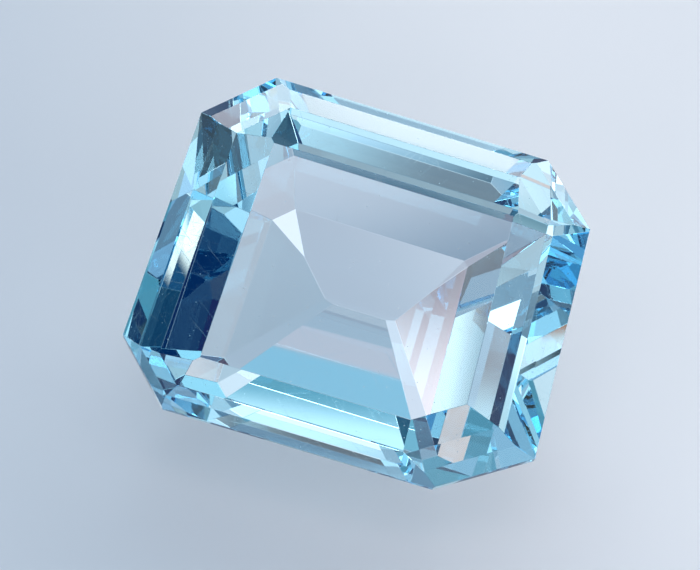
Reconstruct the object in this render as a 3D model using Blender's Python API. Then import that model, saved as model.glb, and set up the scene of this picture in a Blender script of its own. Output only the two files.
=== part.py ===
"""Blue topaz in an octagonal step cut, lying on one flat of its pavilion with the table tipped forward."""

import math

import bmesh
import bpy
from mathutils import Vector

MM = 0.001

# Heights in millimetres, measured up and down from the upper edge of the girdle
CROWN_RISES = (0.58, 0.54, 0.62)
GIRDLE_THICKNESS = 0.33
PAVILION_DROPS = (3.62, 2.08, 1.91)

# One row per side of the octagon, in millimetres except for the direction that the side faces:
# direction in degrees from the right end, distance of the girdle from the axis,
# how far in each crown step reaches, how far in each of the two upper pavilion steps reaches,
# and the distance from the axis at which the lowest pavilion step would reach the keel's depth.
SIDES = {
    "right end": (2.4, 9.82, (1.02, 0.96, 1.68), (2.67, 2.46), 1.77),
    "back right corner": (45.4, 10.66, (0.88, 1.08, 1.18), (1.95, 3.34), 1.11),
    "back": (89.4, 8.34, (0.62, 1.08, 2.20), (2.90, 2.12), -0.46),
    "back left corner": (134.1, 10.68, (0.93, 1.11, 1.18), (3.36, 2.06), 1.10),
    "left end": (178.9, 9.65, (0.97, 1.01, 1.87), (1.71, 2.91), 1.22),
    "front left corner": (224.4, 11.22, (0.34, 0.54, 1.30), (1.47, 2.74), 0.75),
    "front": (270.0, 8.90, (0.43, 0.33, 1.50), (1.38, 2.13), 0.10),
    "front right corner": (303.5, 10.71, (0.70, 0.90, 1.30), (1.50, 2.36), 0.87),
}
RESTING_SIDE = "front"

ROUGH_SIZE = 60.0
WELD = 1e-5


def girdle_profile(side):
    """Corner points of one side's profile as (distance from the axis, height), from table to keel."""
    _, girdle, crown, pavilion, keel = SIDES[side]
    upper = [(girdle, 0.0)]
    for inset, rise in zip(crown, CROWN_RISES):
        reach, height = upper[0]
        upper.insert(0, (reach - inset, height + rise))
    lower = [(girdle, -GIRDLE_THICKNESS)]
    for inset, drop in zip(pavilion, PAVILION_DROPS):
        reach, height = lower[-1]
        lower.append((reach - inset, height - drop))
    lower.append((keel, lower[-1][1] - PAVILION_DROPS[-1]))
    return upper + lower


def facet_plane(side, outer, inner):
    """Point and outward normal of the flat that joins two points of a side's profile."""
    azimuth = math.radians(SIDES[side][0])
    across = Vector((math.cos(azimuth), math.sin(azimuth), 0.0))
    run = outer[0] - inner[0]
    fall = outer[1] - inner[1]
    normal = across * fall + Vector((0.0, 0.0, 1.0)) * -run
    point = across * outer[0] + Vector((0.0, 0.0, outer[1]))
    return point, normal.normalized()


def facet_planes():
    """Every flat of the stone: the table, then each side from its top crown step to its lowest pavilion step."""
    table = Vector((0.0, 0.0, sum(CROWN_RISES)))
    planes = [(table, Vector((0.0, 0.0, 1.0)))]
    for side in SIDES:
        profile = girdle_profile(side)
        for upper, lower in zip(profile, profile[1:]):
            planes.append(facet_plane(side, upper, lower))
    return planes


def grind(stone, point, normal):
    """Take off everything beyond a plane and close the stone with one flat face."""
    everything = stone.verts[:] + stone.edges[:] + stone.faces[:]
    result = bmesh.ops.bisect_plane(
        stone, geom=everything, dist=WELD, plane_co=point, plane_no=normal, clear_outer=True
    )
    rim = [item for item in result["geom_cut"] if isinstance(item, bmesh.types.BMEdge)]
    if rim:
        bmesh.ops.contextual_create(stone, geom=rim)


def cut_stone():
    """The rough block ground down to the finished facets, table up, in millimetres."""
    stone = bmesh.new()
    bmesh.ops.create_cube(stone, size=ROUGH_SIZE)
    for point, normal in facet_planes():
        grind(stone, point, normal)
    bmesh.ops.remove_doubles(stone, verts=stone.verts[:], dist=WELD)
    bmesh.ops.recalc_face_normals(stone, faces=stone.faces[:])
    return stone


def lay_down(stone):
    """Turn the stone onto its resting flat, centre it and put that flat at height zero."""
    profile = girdle_profile(RESTING_SIDE)
    _, resting = facet_plane(RESTING_SIDE, profile[-2], profile[-1])
    turn = resting.rotation_difference(Vector((0.0, 0.0, -1.0))).to_matrix()
    bmesh.ops.rotate(stone, verts=stone.verts[:], cent=(0.0, 0.0, 0.0), matrix=turn)
    low = [min(vert.co[axis] for vert in stone.verts) for axis in range(3)]
    high = [max(vert.co[axis] for vert in stone.verts) for axis in range(3)]
    shift = Vector((-(low[0] + high[0]) / 2, -(low[1] + high[1]) / 2, -low[2]))
    bmesh.ops.translate(stone, verts=stone.verts[:], vec=shift)


def topaz_material():
    """Clear, pale blue crystal with a polished surface."""
    material = bpy.data.materials.new("topaz")
    material.use_nodes = True
    shader = material.node_tree.nodes["Principled BSDF"]
    shader.inputs["Base Color"].default_value = (0.80, 0.93, 0.98, 1.0)
    shader.inputs["Roughness"].default_value = 0.0
    shader.inputs["IOR"].default_value = 1.62
    shader.inputs["Transmission Weight"].default_value = 1.0
    return material


def main():
    for old in list(bpy.data.objects):
        bpy.data.objects.remove(old, do_unlink=True)
    collection = bpy.data.collections.new("blue_topaz")
    bpy.context.scene.collection.children.link(collection)
    stone = cut_stone()
    lay_down(stone)
    bmesh.ops.scale(stone, vec=(MM, MM, MM), verts=stone.verts[:])
    mesh = bpy.data.meshes.new("blue_topaz")
    stone.to_mesh(mesh)
    stone.free()
    mesh.materials.append(topaz_material())
    collection.objects.link(bpy.data.objects.new("blue_topaz", mesh))


main()
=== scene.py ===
"""Blue topaz in an octagonal step cut, lying loose on a pale studio table."""

import math

import bmesh
import bpy
from mathutils import Matrix, Vector


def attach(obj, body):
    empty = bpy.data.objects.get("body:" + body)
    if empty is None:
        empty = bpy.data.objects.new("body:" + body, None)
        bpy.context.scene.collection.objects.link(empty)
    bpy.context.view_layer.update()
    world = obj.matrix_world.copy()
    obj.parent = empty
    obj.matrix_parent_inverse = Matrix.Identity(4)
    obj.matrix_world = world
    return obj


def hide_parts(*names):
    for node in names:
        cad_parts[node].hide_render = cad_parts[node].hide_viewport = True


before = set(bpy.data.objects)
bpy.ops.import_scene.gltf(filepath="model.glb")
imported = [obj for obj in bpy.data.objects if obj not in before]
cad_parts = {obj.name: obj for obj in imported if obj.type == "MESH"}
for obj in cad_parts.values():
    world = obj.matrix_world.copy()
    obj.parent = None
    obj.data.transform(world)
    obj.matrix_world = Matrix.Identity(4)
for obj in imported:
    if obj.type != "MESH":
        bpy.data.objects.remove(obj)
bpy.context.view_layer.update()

MM = 0.001

# Topaz crystal: what it does to light that passes through it
TOPAZ_IOR = 1.62
TOPAZ_TINT = (0.059, 0.735, 0.956, 1.0)
TOPAZ_DENSITY = 34.0

# Worn edges between the flats
EDGE_WEAR = 0.012 * MM
WELD = 0.0001 * MM
SAME_FLAT = math.radians(0.05)
SLIVER = 0.001 * MM

# Hairlines on the polish: the bearing and height that each set faces, and how much of its grain shows
HAIRLINE_FACINGS = (
    (math.radians(40), math.radians(35)),
    (math.radians(-68), math.radians(25)),
)
HAIRLINE_WIDTH = 0.030 * MM
HAIRLINE_LENGTH = 3.2 * MM
HAIRLINE_CUT = (0.78, 0.83)
HAIRLINE_ROUGHNESS = 0.10

# Specks on the polish: their reach is a share of their spacing
SPECK_SPACING = 0.55 * MM
SPECK_REACH = 0.06
SPECK_ROUGHNESS = 0.45

# Table top: its colour is painted shade, darker and bluer on the left, and fades from left to right over
# twice the fade distance, along a slanting line
TABLE_GAP = 0.04 * MM
TABLE_SIZE = 3.0
TABLE_LEFT_PAINTED_SHADE = (0.53, 0.586, 0.66)
TABLE_RIGHT_PAINTED_LIT = (0.78, 0.785, 0.825)
TABLE_FADE = 24 * MM
TABLE_SLANT = 0.7
# painted glow: the table top gives off light of its own, though it is no lamp, which lightens the stone's
# shadow on it
TABLE_PAINTED_GLOW = 0.25
TABLE_ROUGHNESS = 0.8
BACKDROP = (0.64, 0.72, 0.83)

# Room: its light high up (below zero, so that the lights' faint edges are lost in it), what is added
# near the horizon and up to which height, and the least light anywhere
ROOM_ABOVE = (-0.080, -0.050, -0.025)
ROOM_HORIZON = (0.115, 0.165, 0.200)
HORIZON_HEIGHT = 0.4
ROOM_DARK = (0.002, 0.025, 0.090)
LIGHT_MAP_WIDTH = 512

# Glow from below the stone: straight down, then what is added towards the right, towards both ends,
# towards the front and the back, and towards the back right
GLOW_DOWN = (0.04, 0.15, 0.27)
GLOW_RIGHT = (0.18, 0.28, 0.32)
GLOW_ENDS = (-0.08, -0.33, -0.46)
GLOW_FRONT_AND_BACK = (-0.15, -0.10, -0.14)
GLOW_BACK_RIGHT = (0.10, 0.16, 0.10)

# Soft rectangular lights: bearing (0 is the right end and 90 the back), height above the horizon,
# half width, half height and turn in degrees, softness of the edge, and colour.
# A card with a negative colour takes light away.
SOFT_LIGHTS = {
    # Low lights, level with the stone or below it
    "low back sheet": (82, -35.5, 31, 16.5, 172, 0.25, (0.39, 0.34, 0.36)),
    "low back left sheet": (110, -47, 15, 35, 166, 0.10, (0.47, 0.42, 0.42)),
    "low left sheet": (145, -24, 35, 26, 93, 0.05, (0.52, 0.50, 0.50)),
    "low front left sheet": (228, -11, 16, 45, 66, 0.05, (1.10, 1.02, 1.00)),
    "low front right sheet": (302, -9, 36, 26, 122, 0.05, (0.52, 0.44, 0.42)),
    "level front left pane": (242, 7, 16, 15.5, 60, 0.05, (0.75, 0.62, 0.60)),
    "level back right sheet": (62, -2, 25, 24, 14, 0.50, (1.15, 1.00, 0.98)),
    "level back left lamp": (148, 1, 5, 12, 166, 0.05, (2.40, 2.40, 2.40)),
    "level front pane": (267, -2.5, 2, 3, 94, 0.10, (0.30, 0.27, 0.30)),
    "low right lamp": (12, -14, 21, 18, 130, 0.05, (2.20, 1.90, 1.80)),
    "low front right lamp": (319, -12.5, 8.5, 45, 54, 0.05, (2.60, 2.40, 2.30)),
    "low back left spot": (135.5, -40.5, 2, 3, 133, 0.50, (0.90, 0.75, 0.75)),
    "deep right pane": (51, -66, 16, 10, 22, 0.30, (0.52, 0.45, 0.45)),
    "deep left pane": (140, -78, 7, 13, 87, 0.15, (0.18, 0.16, 0.16)),
    "low back card": (92, -33.5, 3, 1, 0, 0.10, (-0.17, 0.07, 0.16)),
    "low back strip": (92, -32.2, 3, 0.3, 0, 0.10, (0.19, 0.10, 0.09)),
    # Lights above the stone
    "back strip": (99.5, 32.5, 34, 3, 0, 0.90, (7.40, 7.30, 7.40)),
    "back window": (102, 36, 20, 29, 95, 0.05, (0.30, 0.53, 0.60)),
    "back pane": (92, 23.5, 2, 3, 99, 0.20, (0.85, 0.72, 0.66)),
    "upper back pane": (92.5, 41.5, 2, 3, 100, 0.15, (0.43, 0.38, 0.39)),
    "back right strip": (69, 49, 4.5, 17, 154, 0.05, (1.40, 1.15, 1.10)),
    "back left window": (137, 42, 25, 8, 6, 0.05, (0.20, 0.39, 0.45)),
    "high back sheet": (124, 69, 24, 15, 9, 0.10, (0.48, 0.60, 0.70)),
    "left sheet": (168, 50, 46, 5.5, 0, 0.35, (0.42, 0.34, 0.32)),
    "left spark": (179.7, 37.9, 0.8, 1.6, 0, 0.30, (4.00, 2.80, 2.20)),
    "left pane": (179, 46.5, 2, 3, 66, 0.35, (1.08, 0.90, 0.83)),
    "left card": (172.6, 51.4, 2.8, 1.3, 0, 0.20, (-0.54, -0.25, 0.00)),
    "front left strip": (210, 56.5, 9, 25.5, 156, 0.05, (0.64, 0.72, 0.73)),
    "front left sheet": (221, 22, 33, 21, 48, 0.05, (0.18, 0.15, 0.14)),
    "front left lamp": (252, 32, 6, 6, 108, 0.10, (2.50, 2.05, 1.90)),
    "front window": (253, 49, 15, 28, 7, 0.05, (0.36, 0.38, 0.44)),
    "upper front pane": (263, 67, 2, 3, 90, 0.10, (0.44, 0.36, 0.34)),
    "front pane": (280, 26.5, 13, 9.5, 36, 0.05, (0.84, 0.74, 0.69)),
    "front right window": (297, 22, 12.5, 39, 164, 0.05, (0.48, 0.57, 0.71)),
    "front right strip": (326, 22.5, 3.5, 44, 120, 0.10, (0.80, 1.08, 1.14)),
    "front right spark": (317, 21, 3, 3, 0, 0.40, (1.05, 0.34, 0.16)),
    "high right strip": (32, 62, 6, 46, 36, 0.05, (0.24, 0.44, 0.50)),
    "right window": (351, 34, 8, 46, 169, 0.05, (0.80, 0.79, 0.77)),
    "high front sheet": (255, 78, 9, 6, 0, 0.50, (0.32, 0.24, 0.22)),
    "high left warm pane": (204, 75, 4.5, 4, 0, 0.50, (0.48, 0.20, 0.13)),
    "high back warm pane": (143, 72.5, 3.5, 3, 0, 0.40, (0.96, 0.23, 0.00)),
    "top lamp": (288, 88, 6, 9.5, 57, 0.15, (1.70, 1.37, 1.30)),
}

# Camera and the length of the light's way through the stone
CAMERA_PLACE = (0.00615, -0.11868, 0.14916)
CAMERA_AIM = (-0.00065, 0.00090, 0.00577)
CAMERA_ROLL = math.radians(14)
LENS = 204.0
SENSOR_WIDTH = 36.0
NEAREST_SEEN = 0.005
BOUNCES = 16
TABLE_BOUNCES = 3


def feed(tree, *pairs):
    """Gives each socket its value, from another socket or as a plain number or triple."""
    for slot, value in pairs:
        if isinstance(value, bpy.types.NodeSocket):
            tree.links.new(value, slot)
        else:
            slot.default_value = value


def vector_step(tree, operation, *values):
    """One vector operation on sockets or plain triples."""
    step = tree.nodes.new("ShaderNodeVectorMath")
    step.operation = operation
    feed(tree, *zip(step.inputs, values))
    return step.outputs["Vector"]


def reach_along(tree, vector, axis):
    """How far a vector reaches along an axis."""
    step = tree.nodes.new("ShaderNodeVectorMath")
    step.operation = "DOT_PRODUCT"
    feed(tree, *zip(step.inputs, (vector, axis)))
    return step.outputs["Value"]


def add_share(tree, colour, share, light):
    """The light with a share of a colour added."""
    step = tree.nodes.new("ShaderNodeVectorMath")
    step.operation = "SCALE"
    feed(tree, (step.inputs["Vector"], colour), (step.inputs["Scale"], share))
    return vector_step(tree, "ADD", step.outputs["Vector"], light)


def number_step(tree, operation, *values):
    """One number operation on sockets or plain numbers."""
    step = tree.nodes.new("ShaderNodeMath")
    step.operation = operation
    feed(tree, *zip(step.inputs, values))
    return step.outputs["Value"]


def ramp(tree, value, low, high, at_low, at_high):
    """Goes smoothly from one number to another between two values."""
    step = tree.nodes.new("ShaderNodeMapRange")
    step.interpolation_type = "SMOOTHSTEP"
    names = ("Value", "From Min", "From Max", "To Min", "To Max")
    feed(tree, *zip((step.inputs[name] for name in names), (value, low, high, at_low, at_high)))
    return step.outputs["Result"]


def choice(tree, share, first, second):
    """The first colour where the share is 0 and the second where it is 1."""
    step = tree.nodes.new("ShaderNodeMix")
    step.data_type = "VECTOR"
    factor, vector_a, vector_b = (step.inputs[slot] for slot in (0, 4, 5))
    feed(tree, (factor, share), (vector_a, first), (vector_b, second))
    return step.outputs[1]


def hairlines(tree, place):
    """Roughness of fine scratches: grain drawn out long and thin, in one set for each way it faces."""
    marks = 0.0
    for bearing, height in HAIRLINE_FACINGS:
        facing = Matrix.Rotation(bearing, 3, "Z") @ Vector((math.cos(height), 0.0, math.sin(height)))
        across = Vector((1.0, 0.0, 0.0)).rotation_difference(facing)
        lie = tree.nodes.new("ShaderNodeMapping")
        lie.vector_type = "TEXTURE"
        lie.inputs["Rotation"].default_value = across.to_euler()
        lie.inputs["Scale"].default_value = (HAIRLINE_WIDTH, HAIRLINE_LENGTH, HAIRLINE_LENGTH)
        tree.links.new(place, lie.inputs["Vector"])
        grain = tree.nodes.new("ShaderNodeTexNoise")
        grain.inputs["Scale"].default_value = 1.0
        grain.inputs["Detail"].default_value = 0.0
        tree.links.new(lie.outputs["Vector"], grain.inputs["Vector"])
        line = ramp(tree, grain.outputs[0], *HAIRLINE_CUT, 0.0, HAIRLINE_ROUGHNESS)
        marks = number_step(tree, "MAXIMUM", marks, line)
    return marks


def specks(tree, place):
    """Roughness of small round specks, one in each cell of a loose pattern."""
    cells = tree.nodes.new("ShaderNodeTexVoronoi")
    cells.inputs["Scale"].default_value = 1.0 / SPECK_SPACING
    tree.links.new(place, cells.inputs["Vector"])
    return ramp(tree, cells.outputs["Distance"], 0.5 * SPECK_REACH, SPECK_REACH, SPECK_ROUGHNESS, 0.0)


def topaz_crystal():
    """Clear pale blue crystal, polished, with fine hairlines and specks left on its flats."""
    material = bpy.data.materials.new("topaz_crystal")
    material.use_nodes = True
    tree = material.node_tree
    shader = tree.nodes["Principled BSDF"]
    shader.inputs["Base Color"].default_value = (1.0, 1.0, 1.0, 1.0)
    shader.inputs["IOR"].default_value = TOPAZ_IOR
    shader.inputs["Transmission Weight"].default_value = 1.0
    place = tree.nodes.new("ShaderNodeTexCoord").outputs["Object"]
    marks = number_step(tree, "MAXIMUM", hairlines(tree, place), specks(tree, place))
    tree.links.new(marks, shader.inputs["Roughness"])
    absorption = tree.nodes.new("ShaderNodeVolumeAbsorption")
    absorption.inputs["Color"].default_value = TOPAZ_TINT
    absorption.inputs["Density"].default_value = TOPAZ_DENSITY
    tree.links.new(absorption.outputs["Volume"], tree.nodes["Material Output"].inputs["Volume"])
    return material


def wear_edges(shape):
    """Join each facet's triangles into one flat, then wear every edge between two flats to a narrow one."""
    bmesh.ops.remove_doubles(shape, verts=shape.verts[:], dist=WELD)
    bmesh.ops.dissolve_limit(shape, angle_limit=SAME_FLAT, verts=shape.verts[:], edges=shape.edges[:])
    bmesh.ops.recalc_face_normals(shape, faces=shape.faces[:])
    bmesh.ops.bevel(
        shape, geom=shape.edges[:], offset=EDGE_WEAR, offset_type="OFFSET", segments=1, profile=0.5,
        affect="EDGES", clamp_overlap=True,
    )
    bmesh.ops.dissolve_degenerate(shape, dist=SLIVER, edges=shape.edges[:])
    for face in shape.faces:
        face.smooth = False


def cut_stone():
    """The faceted stone as one closed mesh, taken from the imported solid."""
    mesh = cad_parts["blue_topaz"].data.copy()
    mesh.name = "topaz_stone"
    shape = bmesh.new()
    shape.from_mesh(mesh)
    wear_edges(shape)
    shape.to_mesh(mesh)
    shape.free()
    mesh.materials.clear()
    mesh.materials.append(topaz_crystal())
    stone = bpy.data.objects.new("topaz_stone", mesh)
    bpy.context.scene.collection.objects.link(stone)
    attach(stone, "root")
    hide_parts("blue_topaz")


def table_paint_and_painted_light():
    """Pale paint with painted shade that turns it a little bluer and darker towards the left, and a faint
    painted glow.
    """
    material = bpy.data.materials.new("table_paint_and_painted_light")
    material.use_nodes = True
    tree = material.node_tree
    shader = tree.nodes["Principled BSDF"]
    place = tree.nodes.new("ShaderNodeTexCoord").outputs["Object"]
    parts = tree.nodes.new("ShaderNodeSeparateXYZ")
    tree.links.new(place, parts.inputs["Vector"])
    right = number_step(tree, "MULTIPLY_ADD", parts.outputs["Y"], TABLE_SLANT, parts.outputs["X"])
    share = ramp(tree, right, -TABLE_FADE, TABLE_FADE, 0.0, 1.0)
    # painted shade: the colour goes from the darker, bluer left to the lighter right, in place of light
    # falling off across the table
    paint = choice(tree, share, TABLE_LEFT_PAINTED_SHADE, TABLE_RIGHT_PAINTED_LIT)
    tree.links.new(paint, shader.inputs["Base Color"])
    # painted glow: the table gives off its own paint colours as light
    tree.links.new(paint, shader.inputs["Emission Color"])
    shader.inputs["Emission Strength"].default_value = TABLE_PAINTED_GLOW
    shader.inputs["Roughness"].default_value = TABLE_ROUGHNESS
    return material


def table_top():
    """A plain pale table top just under the stone. Light that leaves the stone passes it by."""
    mesh = bpy.data.meshes.new("table_top")
    shape = bmesh.new()
    bmesh.ops.create_grid(shape, x_segments=1, y_segments=1, size=TABLE_SIZE / 2)
    bmesh.ops.translate(shape, verts=shape.verts[:], vec=(0.0, 0.0, -TABLE_GAP))
    shape.to_mesh(mesh)
    shape.free()
    mesh.materials.append(table_paint_and_painted_light())
    table = bpy.data.objects.new("table_top", mesh)
    table.visible_transmission = False
    bpy.context.scene.collection.objects.link(table)


def soft_box_group():
    """Adds one soft-edged rectangle of light to the light that comes from each direction."""
    tree = bpy.data.node_groups.new("soft_box", "ShaderNodeTree")
    for name in ("Direction", "Across", "Along", "Facing", "Colour", "Light"):
        tree.interface.new_socket(name, in_out="INPUT", socket_type="NodeSocketVector")
    for name in ("Edge Start", "Edge End"):
        tree.interface.new_socket(name, in_out="INPUT", socket_type="NodeSocketFloat")
    tree.interface.new_socket("Light", in_out="OUTPUT", socket_type="NodeSocketVector")
    given = tree.nodes.new("NodeGroupInput").outputs
    share = number_step(tree, "GREATER_THAN", reach_along(tree, given["Direction"], given["Facing"]), 0.0)
    for side in ("Across", "Along"):
        off_centre = number_step(tree, "ABSOLUTE", reach_along(tree, given["Direction"], given[side]))
        inside = ramp(tree, off_centre, given["Edge Start"], given["Edge End"], 1.0, 0.0)
        share = number_step(tree, "MULTIPLY", share, inside)
    light = add_share(tree, given["Colour"], share, given["Light"])
    tree.links.new(light, tree.nodes.new("NodeGroupOutput").inputs["Light"])
    return tree


def glow_from_below(tree, right, back):
    """The soft light that comes up from under the stone, for a direction's reach right and back."""
    glow = add_share(tree, GLOW_RIGHT, right, GLOW_DOWN)
    glow = add_share(tree, GLOW_ENDS, number_step(tree, "MULTIPLY", right, right), glow)
    glow = add_share(tree, GLOW_FRONT_AND_BACK, number_step(tree, "MULTIPLY", back, back), glow)
    return add_share(tree, GLOW_BACK_RIGHT, number_step(tree, "MULTIPLY", right, back), glow)


def hang_light(tree, group, name, direction, light):
    """Adds one of the soft lights. It is placed by its own two sides and the way to it."""
    bearing, height, half_width, half_height, turn, softness, colour = SOFT_LIGHTS[name]
    facing = Matrix.Rotation(math.radians(bearing), 3, "Z")
    facing = facing @ Matrix.Rotation(math.radians(90 - height), 3, "Y")
    facing = facing @ Matrix.Rotation(math.radians(turn + 90), 3, "Z")
    box = tree.nodes.new("ShaderNodeGroup")
    box.name = name
    box.node_tree = group
    box.inputs["Across"].default_value = facing.col[0] / math.sin(math.radians(half_width))
    box.inputs["Along"].default_value = facing.col[1] / math.sin(math.radians(half_height))
    box.inputs["Facing"].default_value = facing.col[2]
    box.inputs["Edge Start"].default_value = 1.0 - softness
    box.inputs["Edge End"].default_value = 1.0 + softness
    box.inputs["Colour"].default_value = colour
    tree.links.new(direction, box.inputs["Direction"])
    tree.links.new(light, box.inputs["Light"])
    return box.outputs["Light"]


def studio_room():
    """The dim room above the stone, the glow below it and the soft lights, by direction."""
    world = bpy.data.worlds.new("studio")
    bpy.context.scene.world = world
    world.use_nodes = True
    world.cycles.sampling_method = "MANUAL"
    world.cycles.sample_map_resolution = LIGHT_MAP_WIDTH
    tree = world.node_tree
    direction = vector_step(tree, "NORMALIZE", tree.nodes.new("ShaderNodeTexCoord").outputs["Generated"])
    parts = tree.nodes.new("ShaderNodeSeparateXYZ")
    tree.links.new(direction, parts.inputs["Vector"])
    right, back, up = (parts.outputs[axis] for axis in "XYZ")
    glow = glow_from_below(tree, right, back)
    near_horizon = ramp(tree, up, 0.0, HORIZON_HEIGHT, 1.0, 0.0)
    room = add_share(tree, ROOM_HORIZON, near_horizon, ROOM_ABOVE)
    light = choice(tree, number_step(tree, "GREATER_THAN", up, 0.0), glow, room)
    group = soft_box_group()
    for name in SOFT_LIGHTS:
        light = hang_light(tree, group, name, direction, light)
    light = vector_step(tree, "MAXIMUM", light, ROOM_DARK)
    seen = tree.nodes.new("ShaderNodeLightPath").outputs["Is Camera Ray"]
    tree.links.new(choice(tree, seen, light, BACKDROP), tree.nodes["Background"].inputs["Color"])


def camera():
    """The camera above the front of the stone, turned a little on its own axis."""
    lens = bpy.data.cameras.new("camera")
    lens.lens = LENS
    lens.sensor_width = SENSOR_WIDTH
    lens.clip_start = NEAREST_SEEN
    body = bpy.data.objects.new("camera", lens)
    bpy.context.scene.collection.objects.link(body)
    place = Vector(CAMERA_PLACE)
    look = (Vector(CAMERA_AIM) - place).to_track_quat("-Z", "Y").to_matrix().to_4x4()
    body.matrix_world = Matrix.Translation(place) @ look @ Matrix.Rotation(CAMERA_ROLL, 4, "Z")
    bpy.context.scene.camera = body


def light_paths():
    """Lets light cross the stone often enough to come out of its deepest facets."""
    cycles = bpy.context.scene.cycles
    cycles.max_bounces = BOUNCES
    cycles.glossy_bounces = BOUNCES
    cycles.transmission_bounces = BOUNCES
    cycles.diffuse_bounces = TABLE_BOUNCES
    bpy.context.scene.view_settings.view_transform = "Standard"


cut_stone()
table_top()
studio_room()
camera()
light_paths()
